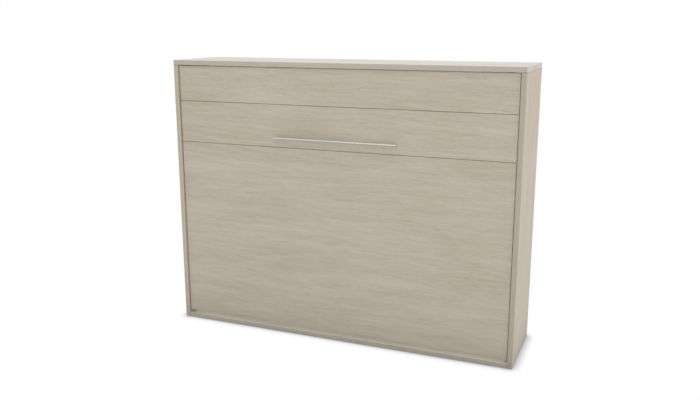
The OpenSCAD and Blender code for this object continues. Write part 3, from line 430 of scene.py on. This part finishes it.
# Mould grain is 0.3 mm: drawn at 0.8 mm so that it shows.
grit = put(tree, "ShaderNodeTexNoise", {"Vector": millimetres(tree, where, 0.8, 0.8, 0.8), "Scale": 1, "Detail": 2})
flow = put(tree, "ShaderNodeTexNoise", {"Vector": millimetres(tree, where, 25, 25, 25), "Scale": 1, "Detail": 2})
tone = put(tree, "ShaderNodeMix", {0: flow.outputs["Fac"], 6: colour("#222326"), 7: colour("#303135")},
           data_type="RGBA")
dull = put(tree, "ShaderNodeMapRange", {"Value": flow.outputs["Fac"], "To Min": 0.46, "To Max": 0.6})
relief = put(tree, "ShaderNodeBump", {"Height": grit.outputs["Fac"], "Strength": 0.3, "Distance": 0.0001})
complete(tree, {"Base Color": tone.outputs[2], "Roughness": dull.outputs["Result"], "Normal": relief.outputs[0],
                "IOR": 1.53})
dress(moulded_nylon, "slat_shoes", "pivot_bushes")

# The stop buffers are moulded rubber plugs: dead matt, with a bloom of grey dust.
buffer_rubber, tree, where = new_finish("moulded_black_rubber")
bloom = put(tree, "ShaderNodeTexNoise", {"Vector": millimetres(tree, where, 6, 6, 6), "Scale": 1, "Detail": 5})
tone = put(tree, "ShaderNodeMix", {0: bloom.outputs["Fac"], 6: colour("#1b1b1d"), 7: colour("#37373a")},
           data_type="RGBA")
relief = put(tree, "ShaderNodeBump", {"Height": bloom.outputs["Fac"], "Strength": 0.3, "Distance": 0.0002})
complete(tree, {"Base Color": tone.outputs[2], "Roughness": 0.85, "Normal": relief.outputs[0], "IOR": 1.52})
dress(buffer_rubber, "stop_buffers")

# GAS SPRINGS
# Seamless steel cylinders with black stoving enamel and a bright steel rod, one on each side.
# The enamel is glossy and smooth, with a very slight flow in it.
stove_enamel, tree, where = new_finish("black_stoving_enamel")
flow = put(tree, "ShaderNodeTexNoise", {"Vector": millimetres(tree, where, 14, 14, 40), "Scale": 1, "Detail": 2})
tone = put(tree, "ShaderNodeMix", {0: flow.outputs["Fac"], 6: colour("#17181a"), 7: colour("#232427")},
           data_type="RGBA")
dull = put(tree, "ShaderNodeMapRange", {"Value": flow.outputs["Fac"], "To Min": 0.16, "To Max": 0.28})
relief = put(tree, "ShaderNodeBump", {"Height": flow.outputs["Fac"], "Strength": 0.15, "Distance": 0.0004})
complete(tree, {"Base Color": tone.outputs[2], "Roughness": dull.outputs["Result"], "Normal": relief.outputs[0],
                "IOR": 1.5, "Coat Weight": 0.5})
dress(stove_enamel, "left_spring_cylinder", "right_spring_cylinder")

# MATTRESS
# A foam core in a quilted cover: two panels with sewn puffs, a border between them and a tape over each seam.
# The cover swells between its seams, so the shape comes from a cloth simulation with the air pressed in.
low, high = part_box("mattress")
middle = (low + high) / 2
half_l, half_w = (high.x - low.x) / 2, (high.z - low.z) / 2
thick = high.y - low.y
edge_round = 0.040
corner_round = 0.060
sharpest_corner = 0.006
arc_steps = 6
# The sleeping side rises 8 mm to a flat core. The form starts 4 mm smaller all round, as the cloth will swell.
crown = 0.008
crown_core = 0.05
crown_steps = 5
swell_room = 0.004


def plan_outline(inset, steps=8):
    """Rounded rectangle round the mattress, drawn in by inset: points (x, z) about its middle."""
    r = max(corner_round - inset, sharpest_corner)
    points = []
    for quarter, (sx, sz) in enumerate(((1, 1), (-1, 1), (-1, -1), (1, -1))):
        for step in range(steps + 1):
            a = math.radians(90 * (quarter + step / steps))
            points.append((sx * (half_l - inset - r) + r * math.cos(a), sz * (half_w - inset - r) + r * math.sin(a)))
    return points


def mattress_form(shrink):
    """Closed form: flat on the slats, full edges, crowned on the sleeping side."""
    form = bmesh.new()
    rings = []
    rise = thick - crown
    arc = [math.radians(90 * step / arc_steps) for step in range(arc_steps + 1)]
    for a in arc:
        rings.append((edge_round * (1 - math.sin(a)), edge_round * (1 - math.cos(a))))
    for a in arc:
        rings.append((edge_round * (1 - math.cos(a)), rise - edge_round * (1 - math.sin(a))))
    for step in range(1, crown_steps + 1):
        u = step / crown_steps
        rings.append((edge_round + u * (half_w - edge_round - crown_core),
                      rise + crown * math.sin(math.radians(90 * u))))
    loops = []
    for inset, y in rings:
        y = shrink + y * (thick - 2 * shrink) / thick
        loops.append([form.verts.new((middle.x + x, low.y + y, middle.z + z)) for x, z in plan_outline(inset + shrink)])
    for a, b in zip(loops, loops[1:]):
        for i in range(len(a)):
            j = (i + 1) % len(a)
            form.faces.new((a[i], b[i], b[j], a[j]))
    form.faces.new(loops[0][::-1])
    form.faces.new(loops[-1])
    bmesh.ops.recalc_face_normals(form, faces=form.faces)
    mesh = bpy.data.meshes.new("mattress_cover")
    form.to_mesh(mesh)
    form.free()
    return mesh


mattress_cover = bpy.data.objects.new("mattress_cover", mattress_form(swell_room))
bpy.context.scene.collection.objects.link(mattress_cover)


def settle(piece):
    """Makes the modifiers of a piece part of its mesh."""
    graph = bpy.context.evaluated_depsgraph_get()
    shaped = bpy.data.meshes.new_from_object(piece.evaluated_get(graph))
    piece.modifiers.clear()
    piece.data = shaped


even = mattress_cover.modifiers.new("even_mesh", "REMESH")
even.mode = "VOXEL"
even.voxel_size = 0.011
settle(mattress_cover)

at_rest = [v.co.copy() for v in mattress_cover.data.vertices]
ticking_cloth = mattress_cover.modifiers.new("ticking_cloth", "CLOTH")
cloth = ticking_cloth.settings
cloth.quality = 4
cloth.mass = 0.4
cloth.tension_stiffness = cloth.compression_stiffness = 30
cloth.bending_stiffness = 4
cloth.use_pressure = True
cloth.uniform_pressure_force = 4
cloth.effector_weights.gravity = 0
scene = bpy.context.scene
scene.frame_start, scene.frame_end = 1, 20
for moment in range(scene.frame_start, scene.frame_end + 1):
    scene.frame_set(moment)
settle(mattress_cover)
scene.frame_set(scene.frame_start)
# No point of the cover swells by more than 6 mm.
most_swell = 0.006
for vertex, start in zip(mattress_cover.data.vertices, at_rest):
    swell = vertex.co - start
    if swell.length > most_swell:
        vertex.co = start + swell.normalized() * most_swell

smoother = mattress_cover.modifiers.new("finer_mesh", "SUBSURF")
smoother.levels = smoother.render_levels = 1
settle(mattress_cover)

# Both panels are quilted: wavy seams 130 mm apart one way and 260 mm apart the other, sewn 9 mm deep.
# The border is sewn along two lines. The cover lies flat on the slats and is pressed in under each strap.
quilt_pitch = 0.130
quilt_depth = 0.009
quilt_fade = 0.03
panel_skin = 0.022
wave_height = 0.018
wave_length = 0.400
border_depth = 0.0035
strap_half = 0.020
strap_thick = 0.0018
strap_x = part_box("mattress_straps")[1].x - strap_half
# Under a strap the cover stays this far inside the faces. Over 35 mm beside it, it may rise by up to 12 mm more.
strap_room = 0.0015
side_room = 0.0005
strap_ease = 0.035
puff_past_strap = 0.012


def from_seams(x, z):
    """How far the quilting lets the cover rise at a point of a panel: 0 in a seam, 1 between the seams."""
    rows = abs(math.sin(math.pi * (z + wave_height * math.sin(math.tau * x / wave_length)) / quilt_pitch))
    columns = abs(math.sin(math.pi * (x + wave_height * math.sin(math.tau * z / wave_length)) / (2 * quilt_pitch)))
    return min(rows ** 0.5, (1.6 * columns) ** 0.5, 1)


for vertex in mattress_cover.data.vertices:
    x, y, z = vertex.co - middle
    from_edge = min(half_l - abs(x), half_w - abs(z))
    if abs(y) > thick / 2 - panel_skin and from_edge > edge_round:
        fade = min(1, (from_edge - edge_round) / quilt_fade)
        vertex.co.y -= math.copysign(quilt_depth * (1 - from_seams(x, z)) * fade, y)
    elif abs(y) < thick / 2 - edge_round:
        lines = abs(math.sin(math.pi * (y + thick / 2 - edge_round) / ((thick - 2 * edge_round) / 3)))
        inward = border_depth * (1 - lines ** 0.5)
        if abs(x) / half_l > abs(z) / half_w:
            vertex.co.x -= math.copysign(inward, x)
        else:
            vertex.co.z -= math.copysign(inward, z)
    beside = max(0, abs(abs(vertex.co.x) - strap_x) - strap_half) / strap_ease
    free = puff_past_strap * min(1, beside) ** 2
    vertex.co.y = max(low.y, min(vertex.co.y, high.y - strap_room + free))
    vertex.co.z = max(low.z + side_room - free, min(vertex.co.z, high.z - side_room + free))
for polygon in mattress_cover.data.polygons:
    polygon.use_smooth = True

# Knitted ticking of white viscose and polyester: soft, dull and a little fuzzy at a low angle.
# Stitch rows are 0.8 mm apart: drawn at 3 mm. A damask motif of 45 mm shines a trace more than the ground.
knit_ticking, tree, where = new_finish("knitted_white_ticking")
spot = put(tree, "ShaderNodeSeparateXYZ", {0: where})
level = put(tree, "ShaderNodeMath", {0: spot.outputs["Z"], 1: middle.z}, operation="SUBTRACT")


def seam_distance(across, along, pitch):
    """0 in the wavy seams that run along one way, rising to 1 between them."""
    turn = put(tree, "ShaderNodeMath", {0: along, 1: math.tau / wave_length}, operation="MULTIPLY")
    swing = put(tree, "ShaderNodeMath", {0: turn.outputs[0]}, operation="SINE")
    moved = put(tree, "ShaderNodeMath", {0: swing.outputs[0], 1: wave_height, 2: across}, operation="MULTIPLY_ADD")
    phase = put(tree, "ShaderNodeMath", {0: moved.outputs[0], 1: math.pi / pitch}, operation="MULTIPLY")
    wave = put(tree, "ShaderNodeMath", {0: phase.outputs[0]}, operation="SINE")
    return put(tree, "ShaderNodeMath", {0: wave.outputs[0]}, operation="ABSOLUTE").outputs[0]


rows = seam_distance(level.outputs[0], spot.outputs["X"], quilt_pitch)
columns = seam_distance(spot.outputs["X"], level.outputs[0], 2 * quilt_pitch)
# The columns are twice as far apart, so their slope is doubled to keep both grooves equally wide.
wide_columns = put(tree, "ShaderNodeMath", {0: columns, 1: 2.0}, operation="MULTIPLY")
nearest = put(tree, "ShaderNodeMath", {0: rows, 1: wide_columns.outputs[0]}, operation="MINIMUM")
facing = put(tree, "ShaderNodeSeparateXYZ", {0: put(tree, "ShaderNodeTexCoord").outputs["Normal"]})
upright = put(tree, "ShaderNodeMath", {0: facing.outputs["Y"]}, operation="ABSOLUTE")
on_panel = put(tree, "ShaderNodeMapRange", {"Value": upright.outputs[0], "From Min": 0.6, "From Max": 0.85})
# The seam is a groove about 6 mm wide with the thread at its bottom. The whole groove is darkened: the thread's own
# darker colour, and painted shade in the groove.
groove = put(tree, "ShaderNodeMapRange", {"Value": nearest.outputs[0], "From Min": 0.02, "From Max": 0.20,
                                          "To Min": 1.0, "To Max": 0.0}, interpolation_type="SMOOTHSTEP")
seam = put(tree, "ShaderNodeMath", {0: groove.outputs["Result"], 1: on_panel.outputs["Result"]}, operation="MULTIPLY")
loops = put(tree, "ShaderNodeTexVoronoi", {"Vector": millimetres(tree, where, 3, 3, 3), "Scale": 1},
            feature="SMOOTH_F1")
motif = put(tree, "ShaderNodeTexVoronoi", {"Vector": millimetres(tree, where, 45, 45, 45), "Scale": 1},
            feature="SMOOTH_F1")
leaf = put(tree, "ShaderNodeMapRange", {"Value": motif.outputs["Distance"], "From Min": 0.30, "From Max": 0.42})
tone = put(tree, "ShaderNodeMix", {0: leaf.outputs["Result"], 6: colour("#dad8d2"), 7: colour("#d5d3cc")},
           data_type="RGBA")
thread = put(tree, "ShaderNodeMix", {0: loops.outputs["Distance"], 6: tone.outputs[2], 7: colour("#c2bfb7")},
             data_type="RGBA")
# Partly the darker thread, partly painted shade in the groove.
shaded = put(tree, "ShaderNodeMath", {0: seam.outputs[0], 1: 0.42}, operation="MULTIPLY")
thread_and_groove_shade_tone = put(tree, "ShaderNodeMix", {0: shaded.outputs[0], 6: thread.outputs[2], 7: colour("#8f8c85")},
                data_type="RGBA")
dull = put(tree, "ShaderNodeMapRange", {"Value": leaf.outputs["Result"], "To Min": 0.7, "To Max": 0.88})
knit = put(tree, "ShaderNodeBump", {"Height": loops.outputs["Distance"], "Strength": 0.5, "Distance": 0.0006})
puffed = put(tree, "ShaderNodeMath", {0: 1.0, 1: seam.outputs[0]}, operation="SUBTRACT")
relief = put(tree, "ShaderNodeBump", {"Height": puffed.outputs[0], "Strength": 1.0, "Distance": 0.005,
                                      "Normal": knit.outputs[0]})
complete(tree, {"Base Color": thread_and_groove_shade_tone.outputs[2], "Roughness": dull.outputs["Result"], "Normal": relief.outputs[0],
                "Sheen Weight": 0.25, "Sheen Roughness": 0.5})
mattress_cover.data.materials.clear()
mattress_cover.data.materials.append(knit_ticking)
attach(mattress_cover, "bed_leaf")
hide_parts("mattress")


def sweep(name, path, profile, closed=False, up=Vector((1, 0, 0))):
    """A band or tube: the profile (sideways, outwards) carried along the path."""
    form = bmesh.new()
    count = len(path)
    rings = []
    for i, point in enumerate(path):
        before = path[i - 1] if (i > 0 or closed) else path[i]
        after = path[(i + 1) % count] if (i < count - 1 or closed) else path[i]
        ahead = (after - before).normalized()
        out = up.cross(ahead).normalized()
        side = ahead.cross(out).normalized()
        rings.append([form.verts.new(point + side * s + out * o) for s, o in profile])
    pairs = list(zip(rings, rings[1:])) + ([(rings[-1], rings[0])] if closed else [])
    for a, b in pairs:
        for i in range(len(profile)):
            j = (i + 1) % len(profile)
            form.faces.new((a[i], a[j], b[j], b[i]))
    if not closed:
        form.faces.new(rings[0])
        form.faces.new(rings[-1][::-1])
    bmesh.ops.recalc_face_normals(form, faces=form.faces)
    mesh = bpy.data.meshes.new(name)
    form.to_mesh(mesh)
    form.free()
    for polygon in mesh.polygons:
        polygon.use_smooth = True
    piece = bpy.data.objects.new(name, mesh)
    bpy.context.scene.collection.objects.link(piece)
    return piece


# The tape edge: a woven binding, rolled to a bead, sewn round the seam between each panel and the border.
tape_inset = edge_round * (1 - math.cos(math.radians(45)))
tape_radius = 0.0042
tape_press = 0.005
tape_sides = 10
tape_profile = [(tape_radius * math.cos(math.tau * i / tape_sides), tape_radius * math.sin(math.tau * i / tape_sides))
                for i in range(tape_sides)]
tape_finish, tree, where = new_finish("woven_tape_edge")
# Twill ribs are 0.7 mm apart: drawn at 4 mm.
ribs = put(tree, "ShaderNodeTexWave", {"Vector": millimetres(tree, where, 25, 25, 25), "Scale": 1, "Distortion": 0.3},
           wave_type="BANDS", bands_direction="DIAGONAL")
fuzz = put(tree, "ShaderNodeTexNoise", {"Vector": millimetres(tree, where, 2, 2, 2), "Scale": 1, "Detail": 3})
tone = put(tree, "ShaderNodeMix", {0: fuzz.outputs["Fac"], 6: colour("#a39d90"), 7: colour("#bdb8ac")},
           data_type="RGBA")
relief = put(tree, "ShaderNodeBump", {"Height": ribs.outputs["Fac"], "Strength": 0.6, "Distance": 0.0006})
complete(tree, {"Base Color": tone.outputs[2], "Roughness": 0.85, "Normal": relief.outputs[0], "Sheen Weight": 0.2})
cover_surface = BVHTree.FromPolygons([v.co for v in mattress_cover.data.vertices],
                                     [p.vertices for p in mattress_cover.data.polygons])


def on_cover(point):
    """The nearest point of the cover, drawn in a little where a strap presses on the tape."""
    touched = cover_surface.find_nearest(point)[0]
    pressed = max(0, 1 - abs(abs(point.x) - strap_x) / (2 * strap_half))
    inwards = (Vector((touched.x, middle.y, middle.z)) - touched).normalized()
    return touched + inwards * tape_press * min(1, 2 * pressed)


for name, y in (("slat_side_tape_edge", low.y + tape_inset),
                ("sleeping_side_tape_edge", high.y - crown - tape_inset)):
    path = [on_cover(Vector((middle.x + x, y, middle.z + z))) for x, z in plan_outline(tape_inset, 10)]
    tape_edge = sweep(name, path, tape_profile, closed=True, up=Vector((0, 1, 0)))
    tape_edge.data.materials.append(tape_finish)
    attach(tape_edge, "bed_leaf")
    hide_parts("mattress")

# MATTRESS STRAPS
# Two bands of 40 mm polypropylene webbing hold the mattress.
# Each lies over it and is sewn round a hoop at both ends. The weave has ribs across the band and a dull sheen.
webbing, tree, where = new_finish("woven_polypropylene_webbing")
# Weft ribs are 1.2 mm apart: drawn at 2.5 mm so that they show. The warp threads are drawn at 4 mm.
rib_pitch = 0.0025
warp_pitch = 0.004
axes = put(tree, "ShaderNodeSeparateXYZ", {0: where})
along_band = put(tree, "ShaderNodeMath", {0: axes.outputs["Z"], 1: axes.outputs["Y"]}, operation="ADD")
rib_angle = put(tree, "ShaderNodeMath", {0: along_band.outputs[0], 1: math.tau / rib_pitch}, operation="MULTIPLY")
ribs = put(tree, "ShaderNodeMath", {0: rib_angle.outputs[0]}, operation="SINE")
warp_angle = put(tree, "ShaderNodeMath", {0: axes.outputs["X"], 1: math.tau / warp_pitch}, operation="MULTIPLY")
warps = put(tree, "ShaderNodeMath", {0: warp_angle.outputs[0]}, operation="SINE")
weave = put(tree, "ShaderNodeMath", {0: ribs.outputs[0], 1: warps.outputs[0]}, operation="MULTIPLY")
fuzz = put(tree, "ShaderNodeTexNoise", {"Vector": millimetres(tree, where, 8, 8, 8), "Scale": 1, "Detail": 3})
weave_tone = put(tree, "ShaderNodeMapRange", {"Value": weave.outputs[0], "From Min": -1.0, "To Max": 0.8})
blended = put(tree, "ShaderNodeMath", {0: fuzz.outputs["Fac"], 1: 0.4, 2: weave_tone.outputs["Result"]},
              operation="MULTIPLY_ADD")
tone = put(tree, "ShaderNodeMix", {0: blended.outputs[0], 6: colour("#303236"), 7: colour("#4a4d52")},
           data_type="RGBA")
relief = put(tree, "ShaderNodeBump", {"Height": weave.outputs[0], "Strength": 0.5, "Distance": 0.0004})
complete(tree, {"Base Color": tone.outputs[2], "Roughness": 0.62, "Normal": relief.outputs[0], "IOR": 1.49,
                "Sheen Weight": 0.1})

hoop_low, hoop_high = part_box("lower_hoops")
hoop_r = (hoop_high.z - hoop_low.z) / 2
hoop_y = hoop_high.y - hoop_r
lower_hoop_z = (hoop_low.z + hoop_high.z) / 2
upper_low, upper_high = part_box("upper_hoops")
upper_hoop_z = (upper_low.z + upper_high.z) / 2
# The band is wound round the hoop, and its tail leans towards it and is sewn to it over 34 mm.
wrap_r = hoop_r + strap_thick / 2 + 0.0002
wrap_steps = 12
sewn = 0.034
sewn_from = 0.012
tail_lean = 0.0035
tail_steps = 6
band_from = 0.014
band_shift = 0.0005
# From there it runs over the cover in short straight steps, just clear of it.
step_length = 0.006
above_cover = 0.0004
clear_of_hoop = 0.025


def round_hoop(hoop_z, turn):
    """The sewn tail of a strap and its turn round one hoop: points (y, z) towards the mattress."""
    outside = hoop_z - turn * wrap_r
    points = []
    for k in range(tail_steps):
        left = 1 - k / tail_steps
        points.append((hoop_y + sewn_from + sewn * left, outside + turn * tail_lean * left))
    for k in range(wrap_steps + 1):
        a = math.radians(-90 - 180 * k / wrap_steps)
        points.append((hoop_y + wrap_r * math.cos(a), hoop_z + turn * wrap_r * math.sin(a)))
    return points + [(hoop_y + band_from, hoop_z + turn * (wrap_r - band_shift))]


def taut_line(x):
    """The line of a strap pulled tight over the cover at x: points (y, z) from the lower edge to the upper one."""
    section = sorted((vertex.co.z, vertex.co.y) for vertex in mattress_cover.data.vertices
                     if abs(vertex.co.x - x) < strap_half)
    hull = []
    for z, y in section:
        while len(hull) > 1 and ((hull[-1][0] - hull[-2][0]) * (y - hull[-2][1])
                                 >= (hull[-1][1] - hull[-2][1]) * (z - hull[-2][0])):
            hull.pop()
        hull.append((z, y))
    line = [Vector((0, hull[0][1], hull[0][0]))]
    for z, y in hull:
        step = Vector((0, y, z)) - line[-1]
        pieces = int(step.length / step_length)
        line += [line[-1] + step * k / pieces for k in range(1, pieces + 1)]
    points = []
    for before, point, after in zip(line, line[1:], line[2:]):
        ahead = (after - before).normalized()
        lifted = point + Vector((0, ahead.z, -ahead.y)) * (strap_thick / 2 + above_cover)
        if lifted.y > hoop_y + clear_of_hoop:
            points.append((lifted.y, lifted.z))
    return points


def strap_path(x):
    """Centre line of one strap: points (y, z) from the tail at the lower hoop to the tail at the upper one."""
    return round_hoop(lower_hoop_z, 1) + taut_line(x) + round_hoop(upper_hoop_z, -1)[::-1]


# The selvedges of the band are a little rounded.
half_t = strap_thick / 2
flat_w, flat_t = strap_half - 0.0006, half_t - 0.0004
strap_profile = [(-strap_half, -flat_t), (-flat_w, -half_t), (flat_w, -half_t), (strap_half, -flat_t),
                 (strap_half, flat_t), (flat_w, half_t), (-flat_w, half_t), (-strap_half, flat_t)]
for name, x in (("left_mattress_strap", -strap_x), ("right_mattress_strap", strap_x)):
    strap = sweep(name, [Vector((x, y, z)) for y, z in strap_path(x)], strap_profile)
    strap.data.materials.append(webbing)
    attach(strap, "bed_leaf")
    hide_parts("mattress_straps")
